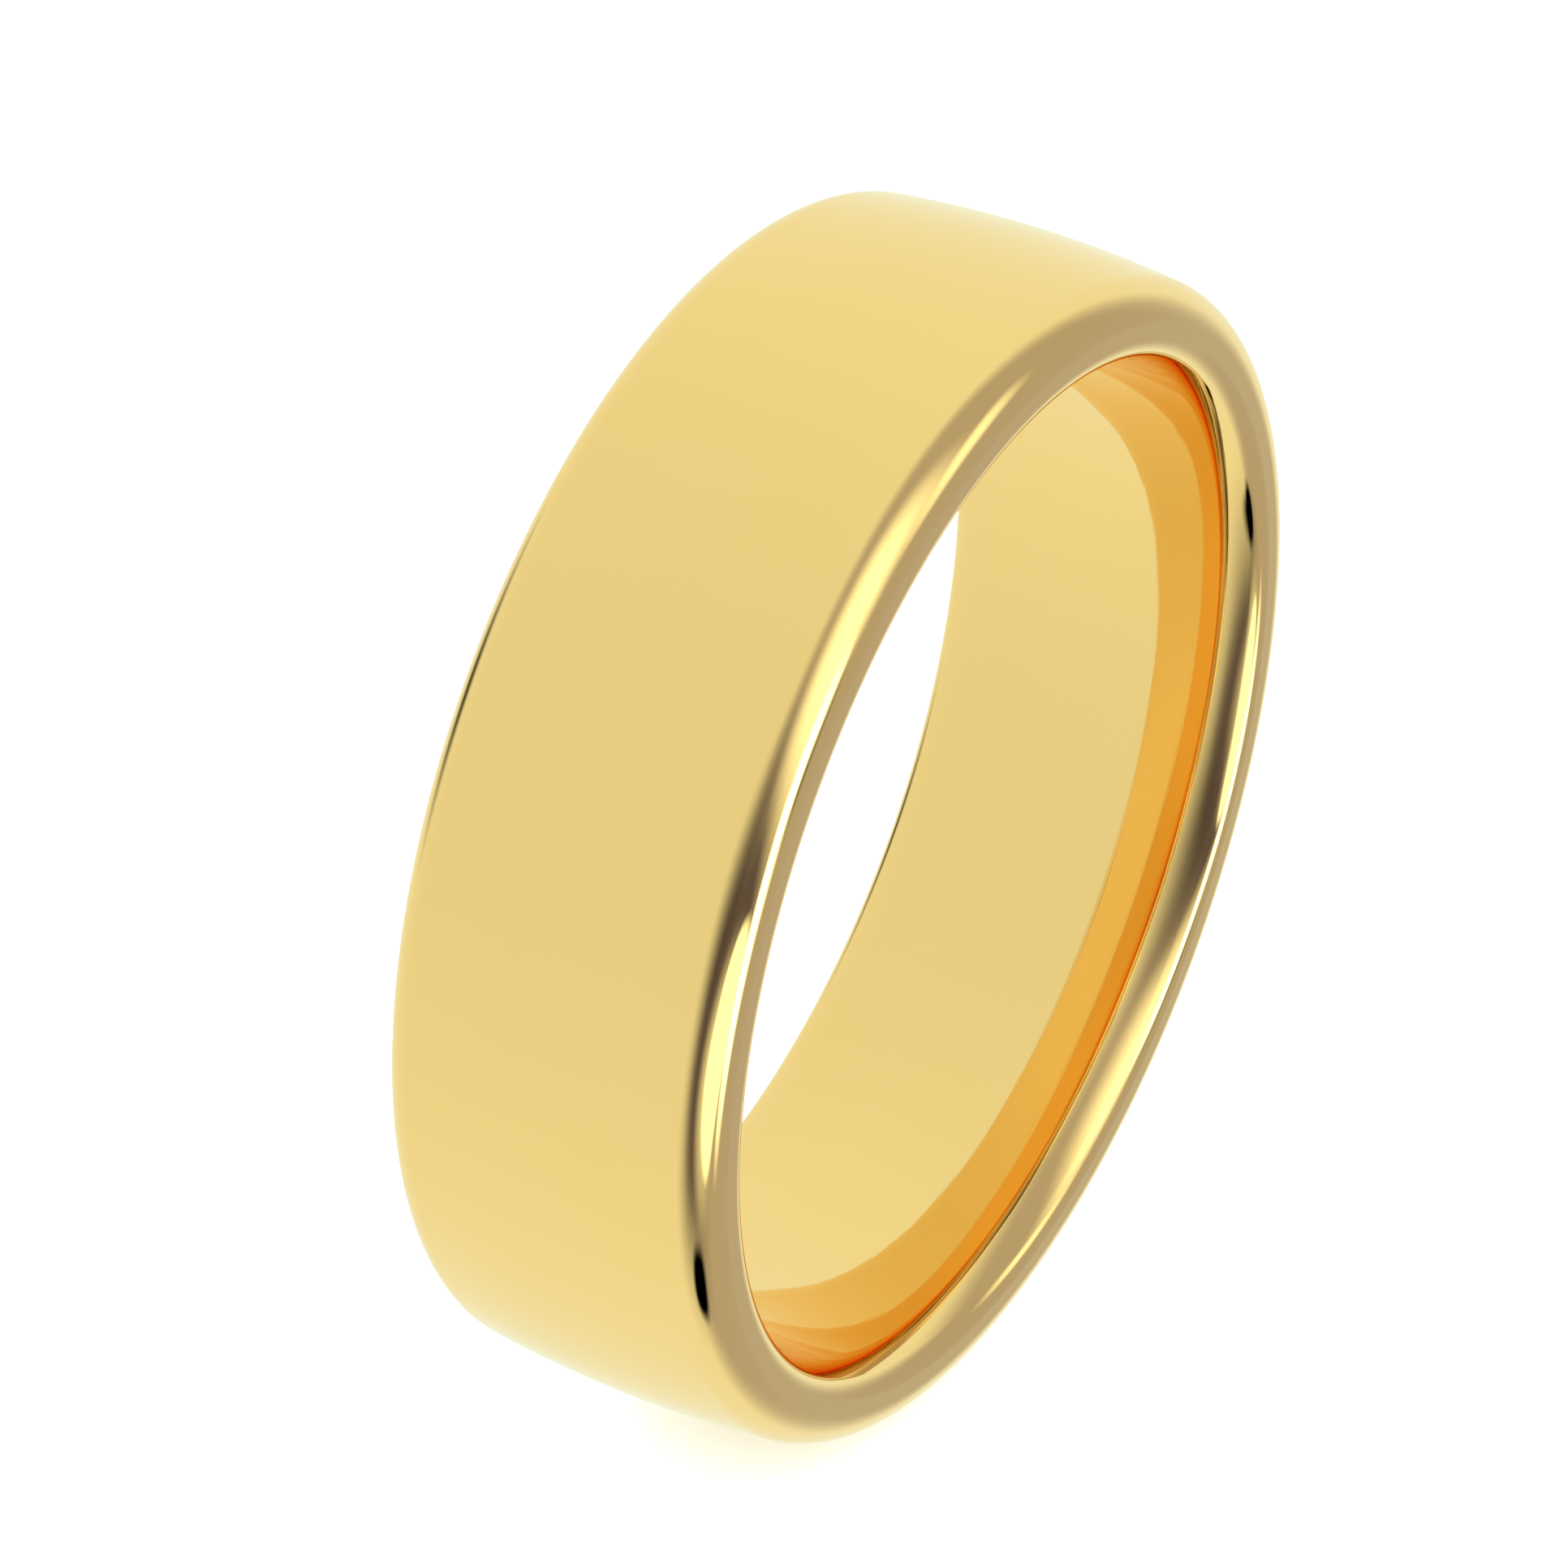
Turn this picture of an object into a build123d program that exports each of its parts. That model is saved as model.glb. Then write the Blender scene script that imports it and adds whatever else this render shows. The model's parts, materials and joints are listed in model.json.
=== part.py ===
from build123d import *
import math
import os

# Plain domed wedding band: one solid ring of polished gold with a comfort-fit bore.
# Millimetres and degrees. The finger axis is Y, +Z is up, the origin is the centre of the bore.

# ---- driving dimensions ----

band_width = 6.0             # along the finger
bore_diameter = 16.92        # at the land, where a ring gauge touches: US size 6 1/2
wall_thickness = 1.70        # at mid width, from the land to the crown of the outer face

crown_height = 0.21          # how far the outer face falls from its crown to its sides
outer_corner_radius = 0.68   # rounding between the outer face and each side face

comfort_land_width = 1.2     # straight stretch in the middle of the bore
comfort_radius = 12.6        # long arc that opens the bore from each end of the land
shoulder_radius = 1.4        # tighter arc that follows it towards the side face
shoulder_slope = 30          # angle to the finger axis where the shoulder ends
inner_corner_radius = 0.4    # rounding between the shoulder and the side face

# ---- sizes that follow from them ----

half_width = band_width / 2
half_land = comfort_land_width / 2
bore_radius = bore_diameter / 2
crown_radius = bore_radius + wall_thickness
outer_edge_radius = crown_radius - crown_height

# The comfort arc turns just far enough for the shoulder and the corner to end at the side face.
steep = math.sin(math.radians(shoulder_slope))
corner_reach = shoulder_radius * steep + inner_corner_radius * (1 - steep)
comfort_reach = half_width - half_land - corner_reach
comfort_slope = math.degrees(math.asin(comfort_reach / (comfort_radius - shoulder_radius)))


def wall_section():
    """The wall cut through at the top of the ring: across is the width, up is the radius."""
    with BuildSketch(Plane.YZ) as section:
        with BuildLine():
            # Bore, from its middle: half the land, comfort arc, shoulder and corner.
            land = Line((0, bore_radius), (half_land, bore_radius))
            comfort = JernArc(land @ 1, land % 1, comfort_radius, comfort_slope)
            shoulder = JernArc(
                comfort @ 1, comfort % 1, shoulder_radius, shoulder_slope - comfort_slope
            )
            corner = JernArc(shoulder @ 1, shoulder % 1, inner_corner_radius, 90 - shoulder_slope)
            # Side face: flat, square to the finger axis.
            Line(corner @ 1, (half_width, outer_edge_radius))
            mirror(about=Plane.YZ)
            # Outer face: one shallow arc, highest at mid width.
            ThreePointArc(
                (-half_width, outer_edge_radius),
                (0, crown_radius),
                (half_width, outer_edge_radius),
            )
        make_face()
        # The outer face's two corners are the farthest from the finger.
        fillet(section.vertices().group_by(Axis.Y)[-1], outer_corner_radius)
    return section.sketch


def make_band():
    """The whole ring, turned about the finger axis."""
    return revolve(wall_section(), axis=Axis.Y)


os.makedirs("parts", exist_ok=True)
export_step(make_band(), "parts/band.step")
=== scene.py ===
"""A plain polished gold wedding band on white paper, in a white studio."""

import json
import math
from dataclasses import dataclass

import bpy
from mathutils import Matrix, Vector


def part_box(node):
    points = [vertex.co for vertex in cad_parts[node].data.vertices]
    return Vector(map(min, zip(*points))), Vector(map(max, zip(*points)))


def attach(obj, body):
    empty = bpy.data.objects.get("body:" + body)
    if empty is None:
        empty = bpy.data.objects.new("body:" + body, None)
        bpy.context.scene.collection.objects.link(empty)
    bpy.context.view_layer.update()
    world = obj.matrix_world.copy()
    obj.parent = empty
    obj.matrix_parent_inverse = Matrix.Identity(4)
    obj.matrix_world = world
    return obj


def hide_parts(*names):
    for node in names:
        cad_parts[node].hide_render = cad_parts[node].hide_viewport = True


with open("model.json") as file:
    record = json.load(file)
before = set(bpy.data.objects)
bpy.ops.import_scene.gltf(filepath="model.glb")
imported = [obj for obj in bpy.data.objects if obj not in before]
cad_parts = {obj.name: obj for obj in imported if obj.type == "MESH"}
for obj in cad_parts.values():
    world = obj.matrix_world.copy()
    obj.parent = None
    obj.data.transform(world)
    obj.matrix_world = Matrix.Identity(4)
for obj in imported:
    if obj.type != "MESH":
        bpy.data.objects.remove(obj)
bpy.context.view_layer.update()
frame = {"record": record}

MM = 0.001

# ---- sizes of the band, in metres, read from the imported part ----

band_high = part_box("band")[1]
CROWN_RADIUS = band_high[2]
HALF_WIDTH = band_high[1]
FINGER_BORE = next(m for m in frame["record"]["mounts"] if m["name"] == "finger_bore")
BORE_RADIUS = FINGER_BORE["dims"]["r_mm"] * MM
HALF_LAND = FINGER_BORE["dims"]["length_mm"] * MM / 2

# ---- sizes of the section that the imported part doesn't state ----

CROWN_HEIGHT = 0.21 * MM        # fall of the outer face from its crown to its sides
OUTER_CORNER = 0.68 * MM        # rounding of the outer face into the side face
COMFORT_RADIUS = 12.6 * MM      # long arc that opens the bore from its land
SHOULDER_RADIUS = 1.4 * MM      # tighter arc that follows it
SHOULDER_SLOPE = math.radians(30)
INNER_CORNER = 0.4 * MM         # rounding of the shoulder into the side face

# ---- how finely the band is turned ----

TURN_STEPS = 600
FACE_STEPS = 20                 # across half the outer face, and across each comfort curve
CORNER_STEPS = 12


# ---------------------------------------------------------------- the band's mesh


def arc_points(centre, radius, start, end, steps):
    """Points along an arc of the section, each with its normal: (across, out, n_across, n_out)."""
    points = []
    for step in range(steps + 1):
        angle = start + (end - start) * step / steps
        across, out = math.cos(angle), math.sin(angle)
        points.append((centre[0] + radius * across, centre[1] + radius * out, across, out))
    return points


def half_section():
    """The wall's section from the middle of the bore to the crown, on the +Y side."""
    # Inside: comfort arc, shoulder and corner, each one starting along the end of the last. The
    # comfort arc turns just far enough for the three to end at the side face.
    steep = math.sin(SHOULDER_SLOPE)
    reach = HALF_WIDTH - HALF_LAND - SHOULDER_RADIUS * steep - INNER_CORNER * (1 - steep)
    comfort_slope = math.asin(reach / (COMFORT_RADIUS - SHOULDER_RADIUS))
    arcs = (
        (COMFORT_RADIUS, comfort_slope, FACE_STEPS),
        (SHOULDER_RADIUS, SHOULDER_SLOPE, CORNER_STEPS),
        (INNER_CORNER, math.pi / 2, CORNER_STEPS),
    )
    section = [(0.0, BORE_RADIUS, 0.0, -1.0), (HALF_LAND, BORE_RADIUS, 0.0, -1.0)]
    across, out, turned = HALF_LAND, BORE_RADIUS, -math.pi / 2
    for radius, slope, steps in arcs:
        centre = (across - radius * math.cos(turned), out - radius * math.sin(turned))
        arc = arc_points(centre, radius, turned, slope - math.pi / 2, steps)
        section += arc[1:]
        across, out, turned = arc[-1][0], arc[-1][1], slope - math.pi / 2
    # Outside: one shallow arc across the whole width, and a corner that touches it from inside.
    crown_arc = (HALF_WIDTH**2 + CROWN_HEIGHT**2) / (2 * CROWN_HEIGHT)
    crown_centre = (0.0, CROWN_RADIUS - crown_arc)
    outer_across = HALF_WIDTH - OUTER_CORNER
    outer_out = crown_centre[1] + math.sqrt((crown_arc - OUTER_CORNER) ** 2 - outer_across**2)
    outer_turn = math.atan2(outer_out - crown_centre[1], outer_across)
    section += arc_points((outer_across, outer_out), OUTER_CORNER, 0.0, outer_turn, CORNER_STEPS)
    return section + arc_points(crown_centre, crown_arc, outer_turn, math.pi / 2, FACE_STEPS)[1:]


def whole_section():
    """The closed section: the half above and its mirror image on the -Y side."""
    half = half_section()
    mirrored = [(-across, out, -n_across, n_out) for across, out, n_across, n_out in half[-2:0:-1]]
    return half + mirrored


def turn_band():
    """The band, turned about the finger axis Y, with the section's own normals on the mesh."""
    section = whole_section()
    rings = len(section)
    points, normals, faces = [], [], []
    for step in range(TURN_STEPS):
        angle = 2 * math.pi * step / TURN_STEPS
        side, up = math.sin(angle), math.cos(angle)
        for across, out, n_across, n_out in section:
            points.append((out * side, across, out * up))
            normals.append((n_out * side, n_across, n_out * up))
        here = step * rings
        there = (step + 1) % TURN_STEPS * rings
        for ring in range(rings):
            after = (ring + 1) % rings
            faces.append((here + ring, here + after, there + after, there + ring))
    mesh = bpy.data.meshes.new("polished_band")
    mesh.from_pydata(points, [], faces)
    mesh.polygons.foreach_set("use_smooth", [True] * len(faces))
    mesh.normals_split_custom_set_from_vertices(normals)
    band = bpy.data.objects.new("polished_band", mesh)
    bpy.context.scene.collection.objects.link(band)
    return band


# ---------------------------------------------------------------- node and colour helpers


COLOUR_A, COLOUR_B, COLOUR_OUT = 6, 7, 2     # the Mix node's colour sockets


def linear(hex_colour):
    """An sRGB hex colour as linear RGBA."""
    channels = [int(hex_colour[i : i + 2], 16) / 255 for i in (1, 3, 5)]
    return [c / 12.92 if c <= 0.04045 else ((c + 0.055) / 1.055) ** 2.4 for c in channels] + [1.0]


def add_node(tree, kind, settings=None, values=None, links=None):
    """A node with its settings, its sockets' values, and links from other nodes' outputs."""
    node = tree.nodes.new(kind)
    for name, setting in (settings or {}).items():
        setattr(node, name, setting)
    for socket, value in (values or {}).items():
        node.inputs[socket].default_value = value
    for socket, source in (links or {}).items():
        tree.links.new(source, node.inputs[socket])
    return node


# ---------------------------------------------------------------- the gold


def buffed_yellow_gold():
    """18 carat yellow gold, turned and then buffed to a mirror.

    The eye sees the room in it rather than the metal: a sharp reflection in pale yellow, orange
    where the bore reflects itself. Buffing leaves faint lines around the ring and soft patches
    where the shine is a little less even.
    """
    material = bpy.data.materials.new("buffed_yellow_gold")
    material.use_nodes = True
    tree = material.node_tree
    tree.nodes.clear()
    place = add_node(tree, "ShaderNodeTexCoord").outputs["Object"]

    # Distance from the finger axis and place along it: a pattern of these two runs in rings.
    split = add_node(tree, "ShaderNodeSeparateXYZ", links={0: place})
    upright = {"X": split.outputs["X"], "Z": split.outputs["Z"]}
    spoke = add_node(tree, "ShaderNodeCombineXYZ", links=upright)
    radius = add_node(
        tree, "ShaderNodeVectorMath", {"operation": "LENGTH"}, links={0: spoke.outputs[0]}
    )
    around = {"X": radius.outputs["Value"], "Y": split.outputs["Y"]}
    rings = add_node(tree, "ShaderNodeCombineXYZ", links=around)

    # Buffing lines: real ones are a few thousandths of a millimetre apart, too fine to show,
    # so they are drawn a tenth of a millimetre apart.
    line_spacing = 0.1 * MM
    lines = add_node(
        tree,
        "ShaderNodeTexNoise",
        values={"Scale": 1 / line_spacing, "Detail": 2.0},
        links={"Vector": rings.outputs[0]},
    ).outputs["Fac"]
    # Places where the buff lingered, about 3 mm across.
    patch_size = 3 * MM
    patches = add_node(
        tree,
        "ShaderNodeTexNoise",
        values={"Scale": 1 / patch_size, "Detail": 1.0},
        links={"Vector": place},
    ).outputs["Fac"]

    smoothest, roughest = 0.02, 0.05
    shine = add_node(
        tree,
        "ShaderNodeMapRange",
        values={"To Min": smoothest, "To Max": roughest},
        links={"Value": patches},
    )
    tone = add_node(
        tree,
        "ShaderNodeMix",
        {"data_type": "RGBA"},
        values={COLOUR_A: linear("#FAD898"), COLOUR_B: linear("#F9D692")},
        links={"Factor": patches},
    )
    line_strength = 0.004
    relief = add_node(
        tree,
        "ShaderNodeBump",
        values={"Strength": line_strength, "Distance": line_spacing},
        links={"Height": lines},
    )
    gold = add_node(
        tree,
        "ShaderNodeBsdfPrincipled",
        values={"Metallic": 1.0},
        links={
            "Base Color": tone.outputs[COLOUR_OUT],
            "Roughness": shine.outputs["Result"],
            "Normal": relief.outputs["Normal"],
        },
    )
    add_node(tree, "ShaderNodeOutputMaterial", links={"Surface": gold.outputs["BSDF"]})
    return material


# ---------------------------------------------------------------- the studio


ROOM_BRIGHTNESS = 0.93
ROOM_COLOUR = (1.0, 1.06, 0.86)      # a slightly warm white
CARD_COLOUR = (1.08, 1.06, 1.0)      # unlit grey card
BROWN_COLOUR = (1.25, 1.06, 1.3)     # brown card, deep in shade
SQUARENESS = 2.4                     # 2 makes every panel an ellipse, and more squares it up
EVEN_LIGHT = 3.0                     # on the paper
BACKDROP_LIGHT = 1.0                 # seen behind the band
BOUNCES = 24                         # the bore reflects itself: too few leave its ends black


@dataclass(frozen=True)
class Panel:
    """A lamp or a card round the band. Angles are in degrees, and the halves are seen from the band.

    The turn is from straight in front of the near side face (-Y) towards +X, and the rise is from
    level upwards. The softness is the part of its half size over which the edge fades.
    """

    name: str
    turn: float
    rise: float
    half_width: float
    half_height: float
    brightness: float
    roll: float = 0
    softness: float = 1.0
    colour: tuple = ROOM_COLOUR


# From the farthest to the nearest: a later panel covers the ones before it.
STUDIO = (
    # The far wall gets a little less light than the ceiling, so the outer face isn't flat.
    Panel("far_wall", turn=-120, rise=30, half_width=60, half_height=60, brightness=0.84),
    # The unlit end of the room, in front of the side face: it draws the rim khaki.
    Panel("dim_end_of_room", turn=9, rise=10, half_width=64, half_height=80, roll=10,
          softness=0.2, brightness=0.46, colour=CARD_COLOUR),
    # Two brown cards that give the near rim its dark streak.
    Panel("tall_card", turn=-55, rise=-5, half_width=25, half_height=45, roll=10,
          softness=0.8, brightness=0.05, colour=BROWN_COLOUR),
    Panel("wide_card", turn=-40, rise=-8, half_width=32, half_height=25, roll=30,
          softness=0.4, brightness=0.10, colour=BROWN_COLOUR),
    # The key lamp above and the low lamp below, each a long highlight on the near rim.
    Panel("key_lamp", turn=0, rise=33, half_width=21, half_height=28, roll=25,
          softness=0.7, brightness=1.7),
    Panel("low_lamp_glow", turn=-35, rise=-20, half_width=15, half_height=20, roll=45,
          softness=0.6, brightness=0.85),
    Panel("low_lamp", turn=-25, rise=-18, half_width=20, half_height=16, roll=-30,
          softness=0.1, brightness=1.7),
    # A bright strip, for the white line along the side face.
    Panel("strip_lamp", turn=5, rise=-10, half_width=9, half_height=22, roll=5,
          softness=0.4, brightness=4.0),
    # A small round lamp off to the right, which carries the near rim's highlight up to its top.
    Panel("round_lamp", turn=36, rise=12, half_width=9, half_height=9,
          softness=0.7, brightness=1.4),
    # Small black things that the gold picks up: a lens and two flags.
    Panel("lens", turn=15, rise=-12, half_width=4, half_height=7, brightness=0.2),
    Panel("low_flag", turn=-40, rise=-55, half_width=10, half_height=8,
          softness=0.3, brightness=0.0),
    Panel("back_flag", turn=175, rise=-5, half_width=10, half_height=8, brightness=0.05),
)


def directions(turn, rise, roll=0):
    """The direction to a panel or to the camera, and its own right and up, tilted by its roll."""
    turn, rise = math.radians(turn), math.radians(rise)
    towards = Vector(
        (math.sin(turn) * math.cos(rise), -math.cos(turn) * math.cos(rise), math.sin(rise))
    )
    level = Vector((math.cos(turn), math.sin(turn), 0.0))
    tilt = Matrix.Rotation(math.radians(roll), 3, towards)
    return towards, tilt @ level, tilt @ towards.cross(level)


def glow(colour, brightness):
    """A colour at a brightness, as RGBA."""
    return [brightness * channel for channel in colour] + [1.0]


def panel_cover(tree, panel, look):
    """How much a panel covers what lies behind it: 1 inside, fading to 0 over its edge.

    Places are measured on a flat map of all directions, centred on the panel, on which a circle
    stays a circle.
    """
    towards, right, up = directions(panel.turn, panel.rise, panel.roll)
    dot, add, power = {"operation": "DOT_PRODUCT"}, {"operation": "ADD"}, {"operation": "POWER"}
    ahead = add_node(tree, "ShaderNodeVectorMath", dot, {1: towards}, {0: look})
    depth = add_node(tree, "ShaderNodeMath", add, {1: 1.0}, {0: ahead.outputs["Value"]})
    sides = []
    for axis, half in ((right, panel.half_width), (up, panel.half_height)):
        reach = math.tan(math.radians(half) / 2)
        across = add_node(tree, "ShaderNodeVectorMath", dot, {1: axis / reach}, {0: look})
        place = add_node(
            tree,
            "ShaderNodeMath",
            {"operation": "DIVIDE"},
            links={0: across.outputs["Value"], 1: depth.outputs[0]},
        )
        size = add_node(
            tree, "ShaderNodeMath", {"operation": "ABSOLUTE"}, links={0: place.outputs[0]}
        )
        side = add_node(tree, "ShaderNodeMath", power, {1: SQUARENESS}, {0: size.outputs[0]})
        sides.append(side.outputs[0])
    both = add_node(tree, "ShaderNodeMath", add, links={0: sides[0], 1: sides[1]})
    edge = add_node(tree, "ShaderNodeMath", power, {1: 1 / SQUARENESS}, {0: both.outputs[0]})
    cover = add_node(
        tree,
        "ShaderNodeMapRange",
        {"interpolation_type": "SMOOTHSTEP"},
        values={"From Min": 1 + panel.softness, "From Max": 1 - panel.softness},
        links={"Value": edge.outputs[0]},
    )
    return cover.outputs["Result"]


def light_studio():
    """Soft panels in the world, seen only in the gold; the paper gets an even neutral light."""
    world = bpy.data.worlds.new("studio")
    bpy.context.scene.world = world
    world.use_nodes = True
    world.cycles.sampling_method = "NONE"
    tree = world.node_tree
    tree.nodes.clear()
    look = add_node(tree, "ShaderNodeTexCoord").outputs["Generated"]

    # The first panel lies over the plain room, and each later one over what is there so far.
    light = None
    for panel in STUDIO:
        mix = add_node(
            tree,
            "ShaderNodeMix",
            {"data_type": "RGBA", "label": panel.name},
            values={
                COLOUR_A: glow(ROOM_COLOUR, ROOM_BRIGHTNESS),
                COLOUR_B: glow(panel.colour, panel.brightness),
            },
            links={"Factor": panel_cover(tree, panel, look)},
        )
        if light is not None:
            tree.links.new(light, mix.inputs[COLOUR_A])
        light = mix.outputs[COLOUR_OUT]

    ray = add_node(tree, "ShaderNodeLightPath")
    white = linear("#FFFFFF")
    panels = add_node(tree, "ShaderNodeBackground", links={"Color": light})
    even = add_node(tree, "ShaderNodeBackground", values={"Color": white, "Strength": EVEN_LIGHT})
    backdrop = add_node(
        tree, "ShaderNodeBackground", values={"Color": white, "Strength": BACKDROP_LIGHT}
    )
    seen_in_gold = add_node(
        tree,
        "ShaderNodeMixShader",
        links={0: ray.outputs["Is Glossy Ray"], 1: even.outputs[0], 2: panels.outputs[0]},
    )
    seen_direct = add_node(
        tree,
        "ShaderNodeMixShader",
        links={0: ray.outputs["Is Camera Ray"], 1: seen_in_gold.outputs[0], 2: backdrop.outputs[0]},
    )
    add_node(tree, "ShaderNodeOutputWorld", links={"Surface": seen_direct.outputs[0]})


def white_paper():
    """Matt white backdrop paper: even, with a fine pulp mottle."""
    material = bpy.data.materials.new("white_backdrop_paper")
    material.use_nodes = True
    tree = material.node_tree
    surface = tree.nodes["Principled BSDF"]
    surface.inputs["Roughness"].default_value = 0.95
    surface.inputs["Specular IOR Level"].default_value = 0.0
    pulp_size = 0.8 * MM
    place = add_node(tree, "ShaderNodeTexCoord").outputs["Object"]
    pulp = add_node(
        tree,
        "ShaderNodeTexNoise",
        values={"Scale": 1 / pulp_size, "Detail": 4.0},
        links={"Vector": place},
    )
    mottle = add_node(
        tree,
        "ShaderNodeMix",
        {"data_type": "RGBA"},
        values={COLOUR_A: linear("#F4F4F2"), COLOUR_B: linear("#F8F8F6")},
        links={"Factor": pulp.outputs["Fac"]},
    )
    tree.links.new(mottle.outputs[COLOUR_OUT], surface.inputs["Base Color"])
    return material


def lay_floor():
    """A sheet of paper that the band stands on. The gold reflects the studio, not the sheet."""
    half = 0.5
    corners = [(-half, -half, 0), (half, -half, 0), (half, half, 0), (-half, half, 0)]
    mesh = bpy.data.meshes.new("floor")
    mesh.from_pydata(corners, [], [(0, 1, 2, 3)])
    floor = bpy.data.objects.new("floor", mesh)
    floor.location.z = -CROWN_RADIUS
    floor.visible_glossy = False
    mesh.materials.append(white_paper())
    bpy.context.scene.collection.objects.link(floor)


# ---------------------------------------------------------------- the view


VIEW_TURN, VIEW_RISE = -60.2, 38.0       # degrees, measured as for the panels
VIEW_DISTANCE = 12 * CROWN_RADIUS
VIEW_ASIDE = -0.116 * CROWN_RADIUS       # the band sits a little off the middle of the frame
VIEW_ABOVE = 0.056 * CROWN_RADIUS
LENS_LENGTH, SENSOR_WIDTH = 170.0, 36.0  # both in millimetres


def place_camera():
    """A long lens, a little above the band and well round to the left of its near side face."""
    back, right, up = directions(VIEW_TURN, VIEW_RISE)
    place = back * VIEW_DISTANCE + right * VIEW_ASIDE + up * VIEW_ABOVE
    data = bpy.data.cameras.new("camera")
    data.lens = LENS_LENGTH
    data.sensor_width = SENSOR_WIDTH
    data.clip_start = 0.01
    camera = bpy.data.objects.new("camera", data)
    facing = Matrix((right, up, back)).transposed().to_4x4()
    camera.matrix_world = Matrix.Translation(place) @ facing
    bpy.context.scene.collection.objects.link(camera)
    bpy.context.scene.camera = camera


# ---------------------------------------------------------------- putting it together


polished_band = turn_band()
polished_band.data.materials.append(buffed_yellow_gold())
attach(polished_band, "root")
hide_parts("band")

lay_floor()
light_studio()
place_camera()
bpy.context.scene.view_settings.view_transform = "Standard"
bpy.context.scene.cycles.max_bounces = BOUNCES
bpy.context.scene.cycles.glossy_bounces = BOUNCES
